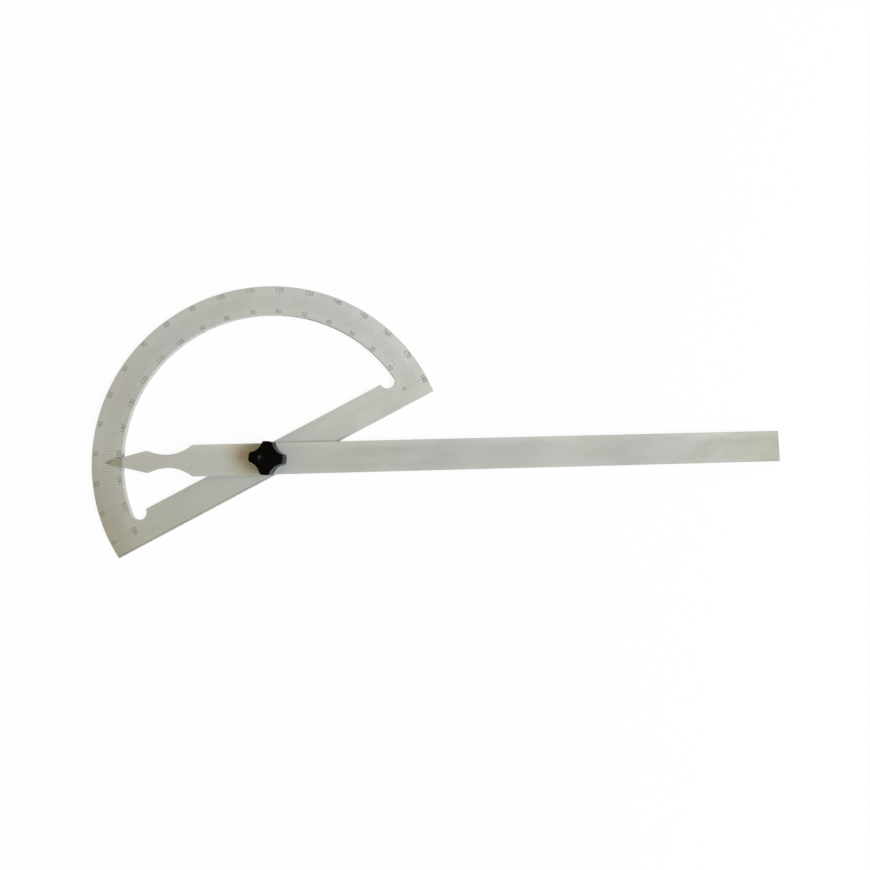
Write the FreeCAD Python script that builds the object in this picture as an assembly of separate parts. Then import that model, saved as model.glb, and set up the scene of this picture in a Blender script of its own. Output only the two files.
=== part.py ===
import FreeCAD, Part
import math
import os

# Protractor: a half-round scale plate, a long rail that turns on it, and a star knob that clamps the two.
# Millimetres. The origin lies on the pivot axis, at the back of the plate. +X runs along the straight
# edge, +Y points to the middle of the scale and +Z points out of the face. The rail is drawn along its own
# x axis, far end at +x and pointer at -x, and is then turned to the angle at which the protractor rests.

# Scale plate, cut from sheet
plate_thickness = 3.0
dial_radius = 100.0
band_width = 16.7
bar_below_pivot = 8.95
bar_above_pivot = 8.4
relief_radius = 4.2
plate_edge_break = 0.25

# Rail, cut from sheet
rail_thickness = 3.0
rail_width = 17.8
rail_reach = 295.0
rail_rest_angle = -27.0
rail_edge_break = 0.25

# Pointer end of the rail. The setbacks place it from the edges of the scale band.
shoulder_radius = 21.5
waist_width = 7.35
waist_run = 11.2
belly_radius = 26.5
belly_setback = 14.5
bevel_setback = 1.6
tip_setback = 7.4
tip_thickness = 0.7

# Pivot bolt, pressed into the plate from the back
head_diameter = 12.0
head_rim = 0.5
head_angle = 90.0
journal_diameter = 8.0
journal_setback = 0.1
stud_diameter = 5.0
stud_height = 8.5
stud_chamfer = 0.6
undercut_fillet = 0.3

# Washers on the stud
washer_diameter = 12.0
washer_thickness = 1.0
washer_edge_break = 0.15
spring_diameter = 11.0
spring_thickness = 0.5
spring_rise = 0.4

# Star knob, moulded round a threaded insert
knob_radius = 9.3
knob_height = 11.3
knob_lobes = 4
knob_angle = -5.5
flute_radius = 8.2
knob_waist_radius = 6.8
boss_diameter = 11.5
boss_height = 1.0
knob_draft = 1.0
knob_crown = 0.35
dish_diameter = 8.4
dish_depth = 1.2
lobe_corner_radius = 0.7
knob_top_fillet = 0.5
knob_bottom_fillet = 0.3

# Threaded insert
insert_diameter = 7.2
insert_height = 7.8
groove_depth = 0.4
groove_width = 1.6
insert_end_wall = 0.8

# Clearances, on the radius of a round fit and across a flat one
journal_clearance = 0.05
thread_clearance = 0.05
washer_clearance = 0.1
spring_seat = 0.02

# Distances from the pivot axis, which follow the edges of the scale band
window_radius = dial_radius - band_width
tip_distance = dial_radius - tip_setback
bevel_distance = window_radius - bevel_setback
belly_distance = window_radius - belly_setback
waist_distance = belly_distance - waist_run

# Levels along the pivot axis, from the back of the plate
plate_top = plate_thickness
rail_top = plate_top + rail_thickness
washer_top = rail_top + washer_thickness
knob_bottom = washer_top + spring_thickness + spring_rise + 2.0 * spring_seat
lobe_bottom = knob_bottom + boss_height
knob_top = knob_bottom + knob_height

origin = FreeCAD.Vector(0, 0, 0)
up = FreeCAD.Vector(0, 0, 1)


def point(x, y, z=0.0):
    return FreeCAD.Vector(x, y, z)


def line(start, end):
    return Part.LineSegment(start, end).toShape()


def arc(start, middle, end):
    return Part.Arc(start, middle, end).toShape()


def extruded(edges, bottom, height):
    face = Part.Face(Part.Wire(edges))
    face.translate(point(0, 0, bottom))
    return face.extrude(up * height)


def revolved(profile):
    # The profile is a closed chain of (radius, height) corners, turned once round the pivot axis.
    corners = [point(radius, 0, height) for radius, height in profile]
    wire = Part.makePolygon(corners + corners[:1])
    return Part.Face(wire).revolve(origin, up, 360)


def disc(radius, bottom, height):
    return Part.makeCylinder(radius, height, point(0, 0, bottom))


def cap_radius(half_width, rise):
    # Radius of the circle whose arc has this half width and this rise.
    return (half_width ** 2 + rise ** 2) / (2 * rise)


def edges_on_levels(shape, levels):
    # Edges that lie flat on one of the given heights.
    found = []
    for edge in shape.Edges:
        box = edge.BoundBox
        if any(abs(box.ZMin - level) < 1e-4 and abs(box.ZMax - level) < 1e-4 for level in levels):
            found.append(edge)
    return found


def broken_edges(shape, size, levels):
    return shape.makeChamfer(size, edges_on_levels(shape, levels))


def bolt_envelope():
    # Outer shape of the bolt's head and of the neck that the plate grips.
    head = head_diameter / 2
    neck = journal_diameter / 2
    cone_depth = (head - neck) / math.tan(math.radians(head_angle / 2))
    return [(0, 0), (head, 0), (head, head_rim), (neck, head_rim + cone_depth)]


def outer_outline():
    edge_y = -bar_below_pivot
    corner_x = math.sqrt(dial_radius ** 2 - edge_y ** 2)
    left = point(-corner_x, edge_y)
    right = point(corner_x, edge_y)
    return [line(left, right), arc(right, point(0, dial_radius), left)]


def window_outline():
    # The window is the half-round between the bar and the scale. At both its corners the cutter goes on
    # into the bar, so each corner is a round relief that runs smoothly into the curve of the window.
    edge_y = bar_above_pivot
    relief_orbit = window_radius - relief_radius
    relief_x = math.sqrt(relief_orbit ** 2 - edge_y ** 2)
    start_x = relief_x - relief_radius
    bottom_y = edge_y - relief_radius
    tangent_x = relief_x * window_radius / relief_orbit
    tangent_y = edge_y * window_radius / relief_orbit
    return [
        line(point(-start_x, edge_y), point(start_x, edge_y)),
        arc(point(start_x, edge_y), point(relief_x, bottom_y), point(tangent_x, tangent_y)),
        arc(point(tangent_x, tangent_y), point(0, window_radius), point(-tangent_x, tangent_y)),
        arc(point(-tangent_x, tangent_y), point(-relief_x, bottom_y), point(-start_x, edge_y)),
    ]


def make_scale_plate():
    blank = extruded(outer_outline(), 0, plate_thickness)
    window = extruded(window_outline(), 0, plate_thickness)
    plate = broken_edges(blank.cut(window), plate_edge_break, [0, plate_top])
    seat = revolved(bolt_envelope() + [(journal_diameter / 2, plate_top), (0, plate_top)])
    return plate.cut(seat)


def make_pivot_bolt():
    neck = journal_diameter / 2
    stud = stud_diameter / 2
    journal_top = rail_top - journal_setback
    stud_top = rail_top + stud_height
    bolt = revolved(bolt_envelope() + [
        (neck, journal_top),
        (stud, journal_top),
        (stud, stud_top - stud_chamfer),
        (stud - stud_chamfer, stud_top),
        (0, stud_top),
    ])
    root = [e for e in edges_on_levels(bolt, [journal_top]) if abs(e.BoundBox.XMax - stud) < 1e-4]
    return bolt.makeFillet(undercut_fillet, root)


def pointer_side(side):
    # One side of the pointer, from the rail's straight edge to the tip: a hollow shoulder that runs into
    # the waist, a hollow flank that rises from the waist to the belly, and a straight taper to the tip.
    edge = rail_width / 2
    waist = waist_width / 2
    shoulder_run = math.sqrt(shoulder_radius ** 2 - (waist + shoulder_radius - edge) ** 2)
    shoulder_turn = math.asin(shoulder_run / shoulder_radius) / 2
    belly_run = belly_distance - waist_distance
    belly_turn = math.asin(belly_run / belly_radius)

    def on_arc(radius, turn, direction):
        x = -waist_distance + direction * radius * math.sin(turn)
        return point(x, side * (waist + radius * (1 - math.cos(turn))))

    shoulder = point(-waist_distance + shoulder_run, side * edge)
    lowest = point(-waist_distance, side * waist)
    belly = on_arc(belly_radius, belly_turn, -1)
    tip = point(-tip_distance, 0)
    return shoulder, [
        arc(shoulder, on_arc(shoulder_radius, shoulder_turn, 1), lowest),
        arc(lowest, on_arc(belly_radius, belly_turn / 2, -1), belly),
        line(belly, tip),
    ]


def tip_bevel():
    # Material above the sloping top of the pointer, which thins it down towards the scale.
    slope = (rail_thickness - tip_thickness) / (tip_distance - bevel_distance)
    beyond = rail_width
    side = [
        point(-bevel_distance, -rail_width, rail_top),
        point(-tip_distance - beyond, -rail_width, rail_top - slope * (tip_distance + beyond - bevel_distance)),
        point(-tip_distance - beyond, -rail_width, rail_top + beyond),
        point(-bevel_distance, -rail_width, rail_top + beyond),
    ]
    return Part.Face(Part.makePolygon(side + side[:1])).extrude(point(0, 2 * rail_width, 0))


def make_rail():
    left_start, left_side = pointer_side(1)
    right_start, right_side = pointer_side(-1)
    half = rail_width / 2
    far_edges = [
        line(right_start, point(rail_reach, -half)),
        line(point(rail_reach, -half), point(rail_reach, half)),
        line(point(rail_reach, half), left_start),
    ]
    outline = Part.__sortEdges__(left_side + right_side + far_edges)
    rail = broken_edges(extruded(outline, plate_top, rail_thickness), rail_edge_break, [plate_top, rail_top])
    rail = rail.cut(tip_bevel())
    rail = rail.cut(disc(journal_diameter / 2 + journal_clearance, plate_top, rail_thickness))
    rail.rotate(origin, up, rail_rest_angle)
    return rail


def make_plain_washer():
    ring = disc(washer_diameter / 2, rail_top, washer_thickness)
    ring = broken_edges(ring, washer_edge_break, [rail_top, washer_top])
    return ring.cut(disc(stud_diameter / 2 + washer_clearance, rail_top, washer_thickness))


def make_spring_washer():
    # A flat ring bent to a shallow arch: its two edges stand on the plain washer and its crown meets the knob.
    bottom = washer_top + spring_seat
    half = spring_diameter / 2
    bend_radius = cap_radius(half, spring_rise)
    bend_centre = point(-half, 0, bottom + spring_rise - bend_radius)
    along = point(1, 0, 0)
    outside = Part.makeCylinder(bend_radius + spring_thickness, spring_diameter, bend_centre, along)
    inside = Part.makeCylinder(bend_radius, spring_diameter, bend_centre, along)
    ring_height = spring_rise + spring_thickness
    ring = disc(half, bottom, ring_height)
    ring = ring.cut(disc(stud_diameter / 2 + washer_clearance, bottom, ring_height))
    return ring.common(outside.cut(inside))


def insert_envelope():
    # Outer shape of the insert, with the groove that keys it into the moulding.
    outer = insert_diameter / 2
    middle = knob_bottom + insert_height / 2
    top = knob_bottom + insert_height
    return revolved([
        (0, knob_bottom),
        (outer, knob_bottom),
        (outer, middle - groove_width / 2),
        (outer - groove_depth, middle - groove_width / 2 + groove_depth),
        (outer - groove_depth, middle + groove_width / 2 - groove_depth),
        (outer, middle + groove_width / 2),
        (outer, top),
        (0, top),
    ])


def make_knob_insert():
    depth = insert_height - insert_end_wall
    hole = disc(stud_diameter / 2 + thread_clearance, knob_bottom, depth)
    return insert_envelope().cut(hole)


def upright_edges(shape, low, high):
    # Edges that run from the underside of the lobes up to their top.
    return [e for e in shape.Edges if e.BoundBox.ZMin < low + 1e-3 and e.BoundBox.ZMax > high]


def star_body():
    # The lobes are what is left of a slightly tapered disc between four tapered hollows. The taper lets the
    # moulding leave its mould, so the disc narrows and the hollows widen towards the top. The top is crowned,
    # with a shallow round dish in its middle.
    height = knob_top - lobe_bottom
    draft = height * math.tan(math.radians(knob_draft))
    star = Part.makeCone(knob_radius + draft, knob_radius, height, point(0, 0, lobe_bottom))
    for index in range(knob_lobes):
        flute = Part.makeCone(flute_radius - draft, flute_radius, height, point(0, 0, lobe_bottom))
        flute.translate(point(knob_waist_radius + flute_radius, 0))
        flute.rotate(origin, up, (index + 0.5) * 360 / knob_lobes)
        star = star.cut(flute)
    star = star.makeFillet(lobe_corner_radius, upright_edges(star, lobe_bottom, knob_top - height / 2))
    crown_radius = cap_radius(knob_radius, knob_crown)
    crown = Part.makeSphere(crown_radius, point(0, 0, knob_top - crown_radius))
    dish_radius = cap_radius(dish_diameter / 2, dish_depth)
    dish = Part.makeSphere(dish_radius, point(0, 0, knob_top - dish_depth + dish_radius))
    star = star.common(crown).cut(dish)
    rim = [e for e in star.Edges if e.BoundBox.ZMin > lobe_bottom + height / 2]
    star = star.makeFillet(knob_top_fillet, rim)
    return star.makeFillet(knob_bottom_fillet, edges_on_levels(star, [lobe_bottom]))


def make_knob():
    knob = star_body().fuse(disc(boss_diameter / 2, knob_bottom, knob_height / 2))
    knob = knob.removeSplitter().cut(insert_envelope())
    knob.rotate(origin, up, rail_rest_angle + knob_angle)
    return knob


makers = {
    "scale_plate": make_scale_plate,
    "pivot_bolt": make_pivot_bolt,
    "rail": make_rail,
    "plain_washer": make_plain_washer,
    "spring_washer": make_spring_washer,
    "knob": make_knob,
    "knob_insert": make_knob_insert,
}

os.makedirs("parts", exist_ok=True)
for node, make in makers.items():
    shape = make()
    shape.exportStep(f"parts/{node}.step")
    print(node, "solids", len(shape.Solids), "valid", shape.isValid(), "volume", round(shape.Volume, 2))
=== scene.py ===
# %% [markdown]
# # A protractor with a clamped rail
#
# This lesson dresses a workshop protractor: a half-round steel scale, a long steel rail that turns on its
# centre, and a black star knob that clamps the two. The shapes come from the CAD model, which is loaded
# first and never moved. Blender adds what a solid modeller leaves out: the etched scale, the finish of the
# metal, the moulded knob, the light and the camera.

# %% Load the frame
import math

import bpy
from mathutils import Euler, Matrix, Vector


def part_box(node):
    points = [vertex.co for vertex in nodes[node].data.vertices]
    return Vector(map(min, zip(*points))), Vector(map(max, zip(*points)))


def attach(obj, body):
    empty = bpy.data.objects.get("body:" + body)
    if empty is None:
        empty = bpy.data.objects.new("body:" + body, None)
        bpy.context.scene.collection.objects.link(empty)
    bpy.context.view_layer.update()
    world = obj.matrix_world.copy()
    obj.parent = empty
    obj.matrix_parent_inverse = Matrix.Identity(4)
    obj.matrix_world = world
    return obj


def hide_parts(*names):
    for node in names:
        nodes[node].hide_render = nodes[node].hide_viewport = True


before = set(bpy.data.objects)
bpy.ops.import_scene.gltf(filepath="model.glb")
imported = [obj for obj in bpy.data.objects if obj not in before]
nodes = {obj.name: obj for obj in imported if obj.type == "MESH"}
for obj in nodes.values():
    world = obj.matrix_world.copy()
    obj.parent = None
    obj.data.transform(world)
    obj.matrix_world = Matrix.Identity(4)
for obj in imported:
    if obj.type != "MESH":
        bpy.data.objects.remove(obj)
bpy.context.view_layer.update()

print("nodes:", ", ".join(sorted(nodes)))

# %% [markdown]
# ## Sizes that everything else reads
#
# Blender works in metres here, and the object is small, so one name for a millimetre keeps every size
# readable. The levels could be typed in, but then they would drift from the model. They are read from the
# CAD nodes, so the marks below always lie on the real face of the plate and never float above it.

# %% Sizes
mm = 0.001
plate_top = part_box("scale_plate")[1].z
dial_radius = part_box("scale_plate")[1].y
rail_angle = math.radians(-27)
print("plate top at", round(plate_top / mm, 3), "mm, dial radius", round(dial_radius / mm, 3), "mm")

# %% [markdown]
# ## The camera
#
# The photograph looks down from close by, a little to the right of the pivot, so the near parts spread and
# the walls on the far side of each opening show. A long lens from further away would hide those walls. The
# place and the turn could be found by hand, by dragging the camera until the outline agrees. They were
# found faster by fitting known edges of the object to the picture, and are written here, rounded, as that
# fit gave them.

# %% Camera
camera_place = Vector((63.123, -44.262, 348.096)) * mm
# Degrees about X, Y and Z.
camera_turn = Euler([math.radians(angle) for angle in (3.741, -2.675, -28.525)])
# Both in pixels of the photograph.
picture_width = 870
focal_length = 600
sensor_width = 36.0
nearest_seen = 0.01

camera_data = bpy.data.cameras.new("photo_camera")
camera_data.sensor_width = sensor_width
camera_data.lens = sensor_width * focal_length / picture_width
camera_data.clip_start = nearest_seen
camera = bpy.data.objects.new("photo_camera", camera_data)
bpy.context.scene.collection.objects.link(camera)
camera.matrix_world = Matrix.Translation(camera_place) @ camera_turn.to_matrix().to_4x4()
bpy.context.scene.camera = camera
print("lens", round(camera_data.lens, 2), "mm at", [round(c, 4) for c in camera.location])

# %% [markdown]
# ## Colours and nodes
#
# A hex colour is what the eye and a colour picker give, but the shader counts in linear light, so one
# function turns the first into the second. A second small function adds a node with its settings and its
# links in one call. That keeps each material short enough to read as a recipe.


# %% Helpers for colours and nodes
def linear(hex_colour):
    channels = [int(hex_colour[i:i + 2], 16) / 255 for i in (0, 2, 4)]
    return [c / 12.92 if c <= 0.04045 else ((c + 0.055) / 1.055) ** 2.4 for c in channels] + [1.0]


def add_node(tree, kind, inputs=None, links=None, **settings):
    node = tree.nodes.new(kind)
    for name, value in settings.items():
        setattr(node, name, value)
    for socket, value in (inputs or {}).items():
        node.inputs[socket].default_value = value
    for socket, source in (links or {}).items():
        tree.links.new(source, node.inputs[socket])
    return node


def new_material(name):
    material = bpy.data.materials.new(name)
    material.use_nodes = True
    material.node_tree.nodes.clear()
    return material, material.node_tree


def per_metre(size_in_mm):
    # The scale of a Noise or Mapping node that makes features of about this size.
    return 1 / (size_in_mm * mm)


print("b8b9b2 is", [round(c, 3) for c in linear("b8b9b2")[:3]])

# %% [markdown]
# ## The room
#
# The object lies in a room with warm walls and ceiling, and the picture's background is plain white. One
# world can be both, because a Light Path node tells the rays apart. The camera sees white. Light on the
# object comes from the warm, weaker ceiling. A reflection sees white near the horizon and the ceiling
# higher up, so the steel mirrors a room instead of a blank.

# %% World
ceiling_colour = "ffe6be"
ceiling_strength = 0.46

world = bpy.data.worlds.new("daylight")
bpy.context.scene.world = world
world.use_nodes = True
sky = world.node_tree
sky.nodes.clear()
path = add_node(sky, "ShaderNodeLightPath")
seen = add_node(
    sky, "ShaderNodeMath", operation="MAXIMUM",
    links={0: path.outputs["Is Camera Ray"], 1: path.outputs["Is Transmission Ray"]},
)
direction = add_node(
    sky, "ShaderNodeSeparateXYZ", links={0: add_node(sky, "ShaderNodeTexCoord").outputs["Generated"]},
)
near_horizon = add_node(
    sky, "ShaderNodeMapRange", inputs={"From Min": 0.15, "From Max": 0.4, "To Min": 1.0, "To Max": 0.0},
    links={"Value": direction.outputs["Z"]},
)
mirrored = add_node(
    sky, "ShaderNodeMath", operation="MULTIPLY",
    links={0: path.outputs["Is Glossy Ray"], 1: near_horizon.outputs[0]},
)
shown = add_node(
    sky, "ShaderNodeMath", operation="MAXIMUM", links={0: seen.outputs[0], 1: mirrored.outputs[0]},
)
ceiling = add_node(
    sky, "ShaderNodeBackground", inputs={"Color": linear(ceiling_colour), "Strength": ceiling_strength},
)
white = add_node(sky, "ShaderNodeBackground", inputs={"Color": linear("ffffff"), "Strength": 1.0})
room = add_node(
    sky, "ShaderNodeMixShader", links={0: shown.outputs[0], 1: ceiling.outputs[0], 2: white.outputs[0]},
)
add_node(sky, "ShaderNodeOutputWorld", links={"Surface": room.outputs[0]})
print("world:", world.name, "with a ceiling of strength", ceiling_strength)

# %% [markdown]
# ## The window
#
# A broad window stands on the right of the picture. It could be a sun lamp, but a sun throws hard shadows,
# and the knob's shadow on the rail is soft. So it is a flat lamp of more than a metre, nearly three metres
# away. It gives more than half of the light, and it is as cool as the room is warm, so that the two
# together are close to white and a colour renders about as it is written.


# %% Window
def add_window(name, azimuth, elevation, distance, width, height, power, colour):
    # A flat lamp that faces the pivot from the given direction.
    away = Vector((
        math.cos(elevation) * math.cos(azimuth),
        math.cos(elevation) * math.sin(azimuth),
        math.sin(elevation),
    ))
    data = bpy.data.lights.new(name, "AREA")
    data.shape = "RECTANGLE"
    data.size = width
    data.size_y = height
    data.energy = power
    data.color = linear(colour)[:3]
    lamp = bpy.data.objects.new(name, data)
    lamp.location = away * distance
    lamp.rotation_euler = away.to_track_quat("Z", "Y").to_euler()
    bpy.context.scene.collection.objects.link(lamp)
    return lamp


window = add_window(
    "window", azimuth=math.radians(-37), elevation=math.radians(46.5), distance=2.8, width=1.4, height=1.3,
    power=80.0, colour="d1e9fb",
)
print("window at", [round(c, 3) for c in window.location])

# %% [markdown]
# ## The white table
#
# The picture's ground is blown out to white, with only a breath of shadow under the steel. More light would
# give that white, but it would wash out the object too. So a plain white plane takes the shadow, and for
# camera rays it is mixed with a white glow: it reads as white whatever the lamps do, and part of the shadow
# still comes through. Further out the glow takes over, so that the edge of the table melts into the white
# behind it.

# %% Table
table_span = 6.0
table_drop = 0.02 * mm
glow_share = 0.9
fade_start = 0.45
fade_end = 1.3

bpy.ops.mesh.primitive_plane_add(size=table_span, location=(0, 0, -table_drop))
table = bpy.context.object
table.name = "white_table"
table_paint, tree = new_material("matt_white_table")
paint = add_node(tree, "ShaderNodeBsdfDiffuse", inputs={"Color": linear("fafafa")})
glow = add_node(tree, "ShaderNodeEmission", inputs={"Color": linear("ffffff"), "Strength": 1.0})
path = add_node(tree, "ShaderNodeLightPath")
away = add_node(
    tree, "ShaderNodeVectorMath", operation="LENGTH",
    links={0: add_node(tree, "ShaderNodeTexCoord").outputs["Object"]},
)
fade = add_node(
    tree, "ShaderNodeMapRange", inputs={"From Min": fade_start, "From Max": fade_end, "To Min": glow_share},
    links={"Value": away.outputs["Value"]},
)
share = add_node(
    tree, "ShaderNodeMath", operation="MULTIPLY",
    links={0: path.outputs["Is Camera Ray"], 1: fade.outputs[0]},
)
mixed = add_node(
    tree, "ShaderNodeMixShader", links={0: share.outputs[0], 1: paint.outputs[0], 2: glow.outputs[0]},
)
add_node(tree, "ShaderNodeOutputMaterial", links={"Surface": mixed.outputs[0]})
table.data.materials.append(table_paint)
print("table", table_span, "m wide")

# %% [markdown]
# ## A tone that changes along a piece
#
# No used tool has one even tone. Hands darken it where it is held, and oil and dust settle at its ends.
# This could be painted on an image, but then the piece would need a picture file. Here it is a colour ramp
# along one axis of the piece, whose stops each give a place in millimetres and a colour, and it is
# multiplied into the tone below it. White changes nothing. The stops were matched to the photograph by
# comparing tones at spots along each piece, so besides wear they hold painted light and shade: lighter
# steel where the window's light falls, darker walls and edges where shade falls, and a painted shadow.


# %% Ramps along an axis
def ramp(tree, position, stops):
    places = [place for place, _ in stops]
    share = add_node(
        tree, "ShaderNodeMapRange", inputs={"From Min": places[0] * mm, "From Max": places[-1] * mm},
        links={"Value": position},
    )
    band = add_node(tree, "ShaderNodeValToRGB", links={0: share.outputs[0]})
    marks = band.color_ramp.elements
    marks[0].color = linear(stops[0][1])
    marks[1].color = linear(stops[-1][1])
    for place, colour in stops[1:-1]:
        marks.new((place - places[0]) / (places[-1] - places[0])).color = linear(colour)
    return band.outputs[0]


def graded(tree, tone, position, stops):
    return add_node(
        tree, "ShaderNodeMix", data_type="RGBA", blend_type="MULTIPLY", inputs={0: 1.0},
        links={6: tone, 7: ramp(tree, position, stops)},
    ).outputs[2]


print("ramps are ready")

# %% [markdown]
# ## Clouds, film and scratches on steel
#
# Plate and rail are cut from steel sheet, ground and then matt plated, which gives a soft grey with hardly
# any reflection. What the eye reads as real metal is small: a slow change of tone over centimetres, a film
# where hands and oil have been, smeared along the piece, and a few hairline scratches that cross it. Each
# is one noise pattern, sized in millimetres. A real scratch is under a tenth of a millimetre wide. It is
# drawn at least five times as wide, so that it still shows.

# %% Tone of handled steel
cloud_size = 38
film_size = 9
film_strength = 0.22
scratch_length = 30
scratch_width = 0.5
scratch_turn = 0.35
scratch_strength = 0.35


def handled_tone(tree, along, light, dark, film):
    # Gives the tone of the steel, and the noise that places the film on it.
    clouds = add_node(
        tree, "ShaderNodeTexNoise",
        inputs={"Scale": per_metre(cloud_size), "Detail": 3.0, "Roughness": 0.55}, links={"Vector": along},
    )
    cloud_share = add_node(
        tree, "ShaderNodeMapRange", inputs={"From Min": 0.3, "From Max": 0.7},
        links={"Value": clouds.outputs["Fac"]},
    )
    tone = add_node(
        tree, "ShaderNodeMix", data_type="RGBA", inputs={6: linear(dark), 7: linear(light)},
        links={0: cloud_share.outputs[0]},
    )
    smeared = add_node(
        tree, "ShaderNodeMapping", inputs={"Scale": (0.3, 1.0, 1.0)}, links={"Vector": along},
    )
    spots = add_node(
        tree, "ShaderNodeTexNoise",
        inputs={"Scale": per_metre(film_size), "Detail": 4.0, "Roughness": 0.6, "Distortion": 0.4},
        links={"Vector": smeared.outputs[0]},
    )
    spot_share = add_node(
        tree, "ShaderNodeMapRange", inputs={"From Min": 0.5, "From Max": 0.78, "To Max": film_strength},
        links={"Value": spots.outputs["Fac"]},
    )
    filmed = add_node(
        tree, "ShaderNodeMix", data_type="RGBA", inputs={7: linear(film)},
        links={0: spot_share.outputs[0], 6: tone.outputs[2]},
    )
    return filmed.outputs[2], spots.outputs["Fac"]


def scratched(tree, along, tone, light):
    stray = add_node(
        tree, "ShaderNodeMapping", inputs={
            "Rotation": (0, 0, scratch_turn),
            "Scale": (per_metre(scratch_length), per_metre(scratch_width), per_metre(scratch_width)),
        },
        links={"Vector": along},
    )
    hairs = add_node(
        tree, "ShaderNodeTexNoise", inputs={"Scale": 1.0, "Detail": 0.0}, links={"Vector": stray.outputs[0]},
    )
    scratch = add_node(
        tree, "ShaderNodeMapRange", inputs={"From Min": 0.77, "From Max": 0.82, "To Max": scratch_strength},
        links={"Value": hairs.outputs["Fac"]},
    )
    return add_node(
        tree, "ShaderNodeMix", data_type="RGBA", inputs={7: linear(light)},
        links={0: scratch.outputs[0], 6: tone},
    ).outputs[2]


print("clouds of", cloud_size, "mm, film spots of", film_size, "mm")

# %% [markdown]
# ## Grinding lines
#
# The grinding belt ran along each piece and left fine lines that scatter a reflection across them. They
# could be modelled, but there would be thousands. A noise that is stretched along the piece and drives a
# bump does the same. Real lines are under a tenth of a millimetre wide and are drawn about three times as
# wide, so that they still show.

# %% Lines of the grinding belt
grind_length = 14
grind_width = 0.28
grind_depth = 0.02 * mm


def ground_relief(tree, along):
    belt = add_node(
        tree, "ShaderNodeMapping",
        inputs={"Scale": (per_metre(grind_length), per_metre(grind_width), per_metre(grind_width))},
        links={"Vector": along},
    )
    grain = add_node(
        tree, "ShaderNodeTexNoise", inputs={"Scale": 1.0, "Detail": 2.0, "Roughness": 0.5},
        links={"Vector": belt.outputs[0]},
    )
    return add_node(
        tree, "ShaderNodeBump", inputs={"Strength": 0.12, "Distance": grind_depth},
        links={"Height": grain.outputs["Fac"]},
    ).outputs[0]


print("grinding lines", grind_width, "mm wide")

# %% [markdown]
# ## Satin steel
#
# Now the finish comes together. The plated faces carry the tone, the wear and the painted light and shade
# along and across the piece, and the grinding lines. The cut walls are smoother, and their colour is painted
# shade, and the bevel of the pointer's tip is darker too, as if it was ground after plating. Walls and bevel
# could be separate material slots, but the CAD mesh has one slot for each node, so the surface's own
# direction tells them apart: a wall looks sideways, and the bevel leans by 11.9 degrees. A piece without a
# bevel or a painted shade line at its base edge leaves those stops out.

# %% Finish for both steel pieces
wall_limit = 0.5
wall_roughness = 0.35
# The bevel's lean as the height of its normal. With the tolerance this takes in 9 to 15 degrees.
bevel_lean = math.cos(math.radians(12.7))
bevel_tolerance = 0.012
plated_smoother = 0.03
plated_rougher = 0.05
# A grey line of painted shade just inside the lower edge of the bar, along the base edge.
base_edge_shade_line = [
    (-9, "ffffff"), (-8.75, "ffffff"), (-8.45, "e0e0da"), (-8.15, "e0e0da"), (-7.8, "ffffff"), (0, "ffffff"),
]


def satin_steel(
    name, light, dark, film, turn, roughness, length_wear_and_light_stops, width_light_stops, wall_axis, wall_shade_stops,
    edge_shade_stops=None, bevel_stops=None,
):
    # Every ramp gives places in mm: along the piece, or across it for the width and for "Y" walls.
    material, tree = new_material(name)
    place = add_node(tree, "ShaderNodeTexCoord")
    turned = add_node(
        tree, "ShaderNodeMapping", inputs={"Rotation": (0, 0, -turn)},
        links={"Vector": place.outputs["Object"]},
    )
    along = turned.outputs[0]
    axes = add_node(tree, "ShaderNodeSeparateXYZ", links={0: along})
    facing = add_node(tree, "ShaderNodeSeparateXYZ", links={0: place.outputs["Normal"]})

    tone, spots = handled_tone(tree, along, light, dark, film)
    # The length and width ramps multiply wear, painted light and painted shade into the tone.
    worn = graded(tree, scratched(tree, along, tone, light), axes.outputs["X"], length_wear_and_light_stops)
    worn = graded(tree, worn, axes.outputs["Y"], width_light_stops)
    # The edge ramp lays a line of painted shade along the base edge.
    if edge_shade_stops:
        worn = add_node(tree, "ShaderNodeMix", data_type="RGBA", links={
            0: ramp(tree, axes.outputs["X"], edge_shade_stops), 6: worn,
            7: graded(tree, worn, axes.outputs["Y"], base_edge_shade_line),
        }).outputs[2]
    steepness = add_node(tree, "ShaderNodeMath", operation="ABSOLUTE", links={0: facing.outputs["Z"]})
    wall = add_node(
        tree, "ShaderNodeMath", operation="LESS_THAN", inputs={1: wall_limit},
        links={0: steepness.outputs[0]},
    )
    # Walls take their colour from a ramp of painted shade.
    colour = add_node(tree, "ShaderNodeMix", data_type="RGBA", links={
        0: wall.outputs[0], 6: worn, 7: ramp(tree, axes.outputs[wall_axis], wall_shade_stops),
    }).outputs[2]
    if bevel_stops:
        leaning = add_node(
            tree, "ShaderNodeMath", operation="COMPARE", inputs={1: bevel_lean, 2: bevel_tolerance},
            links={0: facing.outputs["Z"]},
        )
        colour = add_node(tree, "ShaderNodeMix", data_type="RGBA", links={
            0: leaning.outputs[0], 6: colour, 7: ramp(tree, axes.outputs["X"], bevel_stops),
        }).outputs[2]
    dulled = add_node(
        tree, "ShaderNodeMapRange", inputs={
            "From Min": 0.3, "From Max": 0.75,
            "To Min": roughness - plated_smoother, "To Max": roughness + plated_rougher,
        },
        links={"Value": spots},
    )
    sheen = add_node(
        tree, "ShaderNodeMix", data_type="FLOAT", inputs={3: wall_roughness},
        links={0: wall.outputs[0], 2: dulled.outputs[0]},
    )
    metal = add_node(
        tree, "ShaderNodeBsdfPrincipled", inputs={"Metallic": 1.0},
        links={
            "Base Color": colour, "Roughness": sheen.outputs[0], "Normal": ground_relief(tree, along),
        },
    )
    add_node(tree, "ShaderNodeOutputMaterial", links={"Surface": metal.outputs[0]})
    return material


print("a face that leans more than", round(math.degrees(math.acos(wall_limit))), "degrees is a wall")
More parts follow.
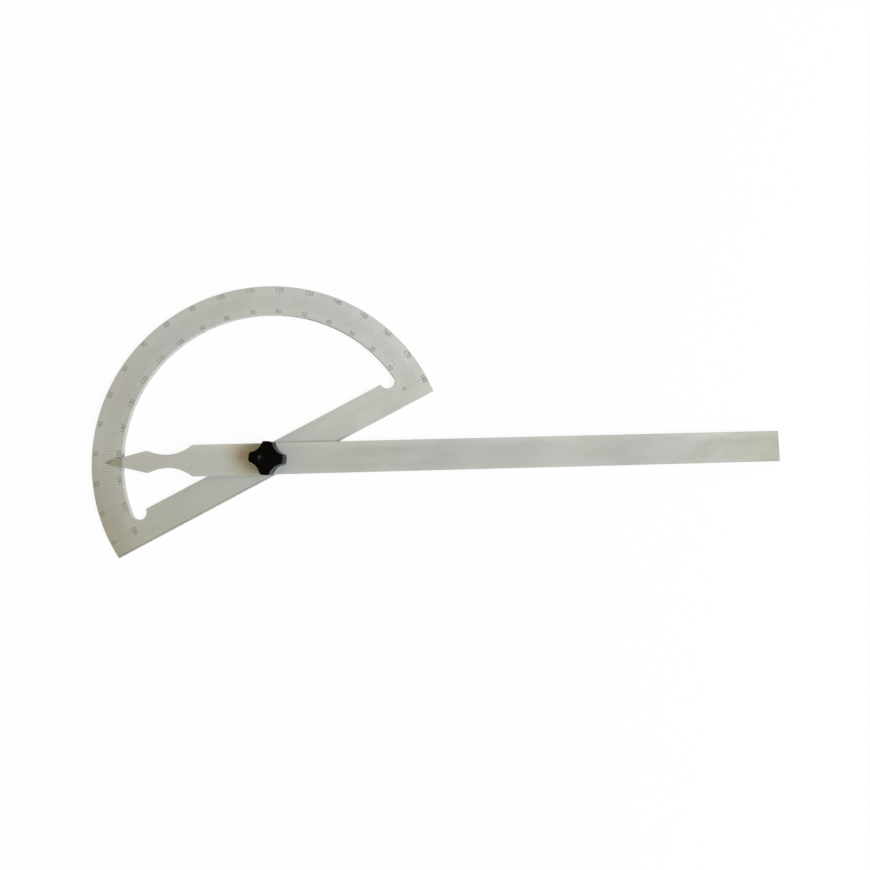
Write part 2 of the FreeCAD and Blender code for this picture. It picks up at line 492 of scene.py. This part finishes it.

# %% [markdown]
# ## The plate's finish
#
# The plate's belt ran along the bar. Its left end is dirtier and yellower than its right one, and its tone
# also holds painted light, lighter towards the right and towards the top of the arc. The wall is painted
# shade, darker on the right, and the grey line of painted shade along the base edge stops 45 mm to the
# right of the pivot. These follow the photograph. Two plates, clean and dirty, could be mixed by a painted
# mask, but a ramp for each of these needs no picture and can be read as numbers.

# %% Steel for the plate
# Steel sheet, ground along the bar and matt plated: it gives the eye a soft light grey and no mirror.
plate_steel = satin_steel(
    "satin_plated_steel_plate", light="eae8e8", dark="e4e2e2", film="d9d6d0", turn=0.0, roughness=0.82,
    # Dirt and yellowing at the left end, with painted light that grows towards the right.
    length_wear_and_light_stops=[
        (-97, "e1ded1"), (-88, "ebe9e1"), (-80, "eff0ea"), (-50, "eff0ec"), (-20, "f5f6f4"), (20, "f5f6f3"),
        (45, "f7f8f5"), (75, "f6f7f4"), (97, "fdfdfa"),
    ],
    # Painted light: the plate grows a little lighter across the bar and towards the top of the arc.
    width_light_stops=[(-9, "f8f8f5"), (9, "f9f9f7"), (30, "fcfcfc"), (100, "fcfcfc")],
    wall_axis="X",
    # Painted shade on the walls: light on the left, darker to the right of 10 mm.
    wall_shade_stops=[
        (-97, "d6cfc8"), (10, "d6cfc8"), (40, "c8c2bc"), (56, "aaa6a0"), (64, "8e8b85"), (97, "8e8b85"),
    ],
    # The painted shade line along the base edge shows where this ramp is white, and ends at 45 mm.
    edge_shade_stops=[
        (-97, "ffffff"), (0, "f0f0f0"), (36, "ffffff"), (41, "ffffff"), (45, "000000"), (97, "000000"),
    ],
)
print("finish:", plate_steel.name)

# %% [markdown]
# ## The rail's finish
#
# The rail's belt ran along its length. It could have a finish of its own, but it is the same steel, so the
# same recipe is used with its pattern turned by the rail's angle. The rail darkens slowly towards the far
# end, a painted shade that holds back the window's light there. A faint olive patch beside the knob is
# the knob's shadow, painted where it falls at rest. Both long edges carry a painted sheen. The bevelled
# tip is darker at its point, and one long wall is painted shade, darker than the other, as in the
# photograph.

# %% Steel for the rail
# Steel sheet, ground along the rail and matt plated: a little duller and warmer to the eye than the plate.
rail_steel = satin_steel(
    "satin_plated_steel_rail", light="f2f0ec", dark="eeece9", film="e3e0d8", turn=rail_angle, roughness=0.85,
    length_wear_and_light_stops=[
        (-90, "f2f2f0"), (-27, "f3f3f1"), (-20, "f1efe4"), (-14, "eeeedf"), (8, "f3f3f1"), (45, "ececea"),
        (110, "ebebe9"), (140, "e8e8e6"), (170, "ecebe7"), (215, "e3e3de"), (258, "ebeae4"), (290, "e0dfd2"),
    ],
    # A painted sheen: both long edges of the rail are a little lighter than its middle.
    width_light_stops=[(-9, "f5f5f5"), (-5.5, "f1f1f1"), (4, "f1f1f1"), (9, "fafafa")],
    wall_axis="Y",
    # Painted shade: the lower long wall (towards -Y) is dark and the upper one light.
    wall_shade_stops=[(-9, "7c7974"), (-2, "7c7974"), (2, "d4cec8"), (9, "d4cec8")],
    bevel_stops=[
        (-93, "afaca6"), (-90, "afaca6"), (-88, "c5c0b0"), (-86, "c4c1af"), (-84, "bfbeac"), (-80, "bfbeac"),
    ],
)
nodes["rail"].material_slots[0].material = rail_steel
print("finish:", rail_steel.name)

# %% [markdown]
# ## The etched scale
#
# The scale is etched into the plate: a line for each degree, longer for every fifth and longest for every
# tenth, and a row of numerals on each side that count from 0 to 180 in opposite directions. It could be
# painted by a shader, but a shader's lines have no depth. Here one cutter is modelled for each length,
# copied round the dial and taken out of a copy of the plate, so the marks are real grooves and the rail
# slides over them. First comes what lies in the grooves.

# %% Etched mark finish
# Acid leaves a thin grey oxide, rough and without shine. It reads as pale pencil grey, and the ramp below
# makes it darker towards both ends of the plate.
mottle_size = 0.6

etched, tree = new_material("etched_steel_oxide")
place = add_node(tree, "ShaderNodeTexCoord").outputs["Object"]
mottle = add_node(
    tree, "ShaderNodeTexNoise", inputs={"Scale": per_metre(mottle_size), "Detail": 2.0},
    links={"Vector": place},
)
oxide = add_node(
    tree, "ShaderNodeMix", data_type="RGBA", inputs={6: linear("8a8a84"), 7: linear("9e9e98")},
    links={0: mottle.outputs["Fac"]},
)
across = add_node(tree, "ShaderNodeSeparateXYZ", links={0: place})
darker_at_ends = graded(tree, oxide.outputs[2], across.outputs["X"], [
    (-97, "cacac8"), (-84, "d8d8d6"), (-20, "e6e6e4"), (60, "ffffff"), (78, "dededc"), (97, "d2d2d0"),
])
dull = add_node(
    tree, "ShaderNodeBsdfPrincipled", inputs={"Metallic": 0.0, "Roughness": 0.7},
    links={"Base Color": darker_at_ends},
)
add_node(tree, "ShaderNodeOutputMaterial", links={"Surface": dull.outputs[0]})
print("finish:", etched.name)

# %% [markdown]
# ## One cutter for a degree line
#
# The line starts as a flat plane of its width and length, and in edit mode it is extruded up from the floor
# of the groove to above the plate. The ends stay square: acid rounds them a little, but on a line a tenth
# of a millimetre wide that wouldn't show. A line is modelled once for each of the three lengths, then
# copied and turned to its degree.

# %% Cutter for one line
line_start = 87.6 * mm
line_width = 0.095 * mm
etch_depth = 0.08 * mm
cutter_rise = 0.2 * mm
line_lengths = {1: 6.5 * mm, 5: 7.6 * mm, 10: 8.6 * mm}


def only(obj):
    # Leaves one object selected and active.
    bpy.ops.object.select_all(action="DESELECT")
    obj.select_set(True)
    bpy.context.view_layer.objects.active = obj
    return obj


def line_cutter(name, length):
    bpy.ops.object.select_all(action="DESELECT")
    bpy.ops.mesh.primitive_plane_add(size=1, location=(0, 0, 0))
    obj = only(bpy.context.object)
    obj.name = name
    obj.scale = (length, line_width, 1)
    obj.location = (line_start + length / 2, 0, plate_top - etch_depth)
    bpy.ops.object.transform_apply(location=True, rotation=True, scale=True)
    bpy.ops.object.mode_set(mode="EDIT")
    bpy.ops.mesh.select_all(action="SELECT")
    bpy.ops.mesh.extrude_region_move(TRANSFORM_OT_translate={"value": (0, 0, etch_depth + cutter_rise)})
    bpy.ops.mesh.select_all(action="SELECT")
    bpy.ops.mesh.normals_make_consistent(inside=False)
    bpy.ops.object.mode_set(mode="OBJECT")
    return obj


patterns = {step: line_cutter(f"line_{step}", length) for step, length in line_lengths.items()}
print("line cutters:", {step: len(pattern.data.polygons) for step, pattern in patterns.items()})

# %% [markdown]
# ## All the lines
#
# Each copy gets its own mesh and is turned about the pivot by one degree more than the last. The turn is
# written into the mesh. The plate could be cut once for each line, but the copies are joined to one cutter,
# because one cut is faster and cleaner than 181 cuts.


# %% Lines round the dial
def copy_turned(pattern, angle):
    obj = pattern.copy()
    obj.data = pattern.data.copy()
    obj.data.transform(Matrix.Rotation(angle, 4, "Z"))
    bpy.context.scene.collection.objects.link(obj)
    return obj


def joined(objects, name):
    bpy.ops.object.select_all(action="DESELECT")
    for obj in objects:
        obj.select_set(True)
    bpy.context.view_layer.objects.active = objects[0]
    bpy.ops.object.join()
    objects[0].name = name
    return objects[0]


lines = []
for degree in range(181):
    step = max(step for step in patterns if degree % step == 0)
    lines.append(copy_turned(patterns[step], math.radians(degree)))
line_set = joined(lines, "line_cutters")
for pattern in patterns.values():
    bpy.data.objects.remove(pattern)
print("lines:", len(lines), "faces:", len(line_set.data.polygons))

# %% [markdown]
# ## The numerals
#
# Numbers every ten degrees stand with their feet towards the pivot. The outer row counts from the left end
# and the inner row from the right. They are narrow, as the numerals on such a scale are, so the text is
# squeezed sideways. A text is turned into a mesh before it is moved, so its place ends up in the mesh.

# %% Numerals
numeral_height = 2.8 * mm
numeral_squeeze = 0.88
# A capital of Blender's own font is this share of the text size.
cap_share = 0.73
curve_steps = 3
merge_distance = 0.001 * mm
foot_radius = {"outer": 96.65 * mm, "inner": 83.95 * mm}


def numeral_cutter(text, radius, angle):
    bpy.ops.object.select_all(action="DESELECT")
    bpy.ops.object.text_add(location=(0, 0, 0))
    obj = only(bpy.context.object)
    obj.data.body = text
    obj.data.align_x = "CENTER"
    obj.data.size = numeral_height / cap_share
    obj.data.resolution_u = curve_steps
    obj.data.extrude = (etch_depth + cutter_rise) / 2
    bpy.ops.object.convert(target="MESH")
    obj = only(bpy.context.object)
    upright = Matrix.Translation((0, radius, plate_top + (cutter_rise - etch_depth) / 2))
    squeeze = Matrix.Diagonal((numeral_squeeze, 1, 1, 1))
    obj.data.transform(Matrix.Rotation(angle - math.pi / 2, 4, "Z") @ upright @ squeeze)
    return obj


def merge_corners():
    # Merges the doubled corners of the active mesh, and leaves it in edit mode with all selected.
    bpy.ops.object.mode_set(mode="EDIT")
    bpy.ops.mesh.select_all(action="SELECT")
    bpy.ops.mesh.remove_doubles(threshold=merge_distance)


numerals = []
for degree in range(0, 181, 10):
    numerals.append(numeral_cutter(str(180 - degree), foot_radius["outer"], math.radians(degree)))
    numerals.append(numeral_cutter(str(degree), foot_radius["inner"], math.radians(degree)))
numeral_set = only(joined(numerals, "numeral_cutters"))
merge_corners()
bpy.ops.mesh.normals_make_consistent(inside=False)
bpy.ops.object.mode_set(mode="OBJECT")
print("numerals:", len(numerals), "faces:", len(numeral_set.data.polygons))

# %% [markdown]
# ## A copy of the plate to cut into
#
# The CAD node itself stays as it is, so the marks are cut into a copy. A CAD node arrives as loose
# triangles with its normals written in, so the copy loses those normals and is merged first. It also drops
# the custom properties that came with the node.

# %% Copy of the plate
engraved = nodes["scale_plate"].copy()
engraved.data = nodes["scale_plate"].data.copy()
engraved.name = "engraved_plate"
for key in list(engraved.keys()):
    del engraved[key]
engraved.parent = None
bpy.context.scene.collection.objects.link(engraved)
only(engraved)
bpy.ops.mesh.customdata_custom_splitnormals_clear()
merge_corners()
bpy.ops.object.mode_set(mode="OBJECT")
engraved.material_slots[0].material = plate_steel
print("copy of the plate:", len(engraved.data.polygons), "faces")

# %% [markdown]
# ## Cutting the scale into the plate
#
# Lines and numerals become one cutter that carries the etched finish. The exact solver is slower than the
# fast one, but it can hand that finish on to the walls and the floor of each groove. The engraved plate
# then stands for the plain CAD plate and rides on the same body.

# %% Engraved plate
smooth_limit = math.radians(25)

cutter = joined([line_set, numeral_set], "scale_cutter")
cutter.data.materials.clear()
cutter.data.materials.append(etched)
only(engraved)
etching = engraved.modifiers.new("etching", "BOOLEAN")
etching.operation = "DIFFERENCE"
etching.solver = "EXACT"
etching.material_mode = "TRANSFER"
etching.object = cutter
bpy.ops.object.modifier_apply(modifier=etching.name)
bpy.data.objects.remove(cutter)
bpy.ops.object.shade_smooth_by_angle(angle=smooth_limit)
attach(engraved, "scale")
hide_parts("scale_plate")
slots = [slot.material.name for slot in engraved.material_slots]
print("engraved plate faces:", len(engraved.data.polygons), slots)

# %% [markdown]
# ## The moulded knob
#
# The knob is black plastic, moulded round its insert in a polished mould. A plain glossy black would show
# bright highlights, and the photograph has hardly any, so the specular level is kept low. A very soft
# waviness and a little haze from handling keep it from looking like a perfect drawing.

# %% Black moulded plastic
# Moulded phenolic or nylon: nearly black to the eye, with a dim shine on its rounded edges.
haze_size = 3
wave_size = 0.9
wave_depth = 0.02 * mm

moulded, tree = new_material("black_moulded_plastic")
place = add_node(tree, "ShaderNodeTexCoord").outputs["Object"]
haze = add_node(
    tree, "ShaderNodeTexNoise", inputs={"Scale": per_metre(haze_size), "Detail": 3.0},
    links={"Vector": place},
)
tint = add_node(
    tree, "ShaderNodeMix", data_type="RGBA", inputs={6: linear("030303"), 7: linear("070706")},
    links={0: haze.outputs["Fac"]},
)
handled = add_node(
    tree, "ShaderNodeMapRange", inputs={"From Min": 0.3, "From Max": 0.7, "To Min": 0.2, "To Max": 0.32},
    links={"Value": haze.outputs["Fac"]},
)
wave = add_node(
    tree, "ShaderNodeTexNoise", inputs={"Scale": per_metre(wave_size), "Detail": 1.0},
    links={"Vector": place},
)
relief = add_node(
    tree, "ShaderNodeBump", inputs={"Strength": 0.1, "Distance": wave_depth},
    links={"Height": wave.outputs["Fac"]},
)
plastic = add_node(
    tree, "ShaderNodeBsdfPrincipled", inputs={"IOR": 1.5, "Specular IOR Level": 0.05},
    links={"Base Color": tint.outputs[2], "Roughness": handled.outputs[0], "Normal": relief.outputs[0]},
)
add_node(tree, "ShaderNodeOutputMaterial", links={"Surface": plastic.outputs[0]})
nodes["knob"].material_slots[0].material = moulded
print("finish:", moulded.name)

# %% [markdown]
# ## The small metal pieces
#
# The bolt and the insert are turned, and the washers are stamped. They sit mostly out of sight, but the
# bolt's head shows in the back of the plate, and the washers show when the knob is eased. Turning leaves
# fine rings, and on the washers the knob rubs rings of its own, so one recipe with rings round the pivot
# serves all four. Real rings are one or two tenths of a millimetre apart. They are drawn about ten times
# as far apart or more, so that they still show.

# %% Small metal finishes
stain_size = 4
ring_depth = 0.01 * mm
# A Wave node at scale 1 turns by this many radians in one unit of length.
wave_radians = 20


def turned_metal(name, light, dark, roughness, ring_pitch):
    ring_scale = 2 * math.pi * per_metre(ring_pitch) / wave_radians
    material, tree = new_material(name)
    place = add_node(tree, "ShaderNodeTexCoord").outputs["Object"]
    stain = add_node(
        tree, "ShaderNodeTexNoise", inputs={"Scale": per_metre(stain_size), "Detail": 3.0},
        links={"Vector": place},
    )
    tone = add_node(
        tree, "ShaderNodeMix", data_type="RGBA", inputs={6: linear(dark), 7: linear(light)},
        links={0: stain.outputs["Fac"]},
    )
    rings = add_node(
        tree, "ShaderNodeTexWave", wave_type="RINGS", rings_direction="Z",
        inputs={"Scale": ring_scale, "Distortion": 0.6, "Detail": 1.0},
        links={"Vector": place},
    )
    relief = add_node(
        tree, "ShaderNodeBump", inputs={"Strength": 0.15, "Distance": ring_depth},
        links={"Height": rings.outputs["Fac"]},
    )
    worn = add_node(
        tree, "ShaderNodeMapRange", inputs={"To Min": roughness - 0.05, "To Max": roughness + 0.08},
        links={"Value": stain.outputs["Fac"]},
    )
    metal = add_node(
        tree, "ShaderNodeBsdfPrincipled", inputs={"Metallic": 1.0},
        links={"Base Color": tone.outputs[2], "Roughness": worn.outputs[0], "Normal": relief.outputs[0]},
    )
    add_node(tree, "ShaderNodeOutputMaterial", links={"Surface": metal.outputs[0]})
    return material


finishes = {
    # Turned steel: a clear grey with faint rings.
    "pivot_bolt": turned_metal("turned_bolt_steel", "c6c6c0", "b2b2ab", 0.34, 1.885),
    # Stamped and zinc plated: the brightest of the four.
    "plain_washer": turned_metal("zinc_plated_washer_steel", "cfd0cc", "bcbdb9", 0.3, 2.513),
    # Hardened and tempered: a darker, browner grey.
    "spring_washer": turned_metal("tempered_spring_steel", "8d8a83", "76736c", 0.33, 3.142),
    # Turned from bar and left bare: a warm yellow.
    "knob_insert": turned_metal("turned_brass", "d9bd74", "c7a75c", 0.28, 1.885),
}
for node, material in finishes.items():
    nodes[node].material_slots[0].material = material
print("finishes:", ", ".join(m.name for m in finishes.values()))

# %% [markdown]
# ## Colour and the last line
#
# The view transform stays plain, so a hex colour that was written above comes out about as it was written.

# %% Finish
bpy.context.scene.view_settings.view_transform = "Standard"
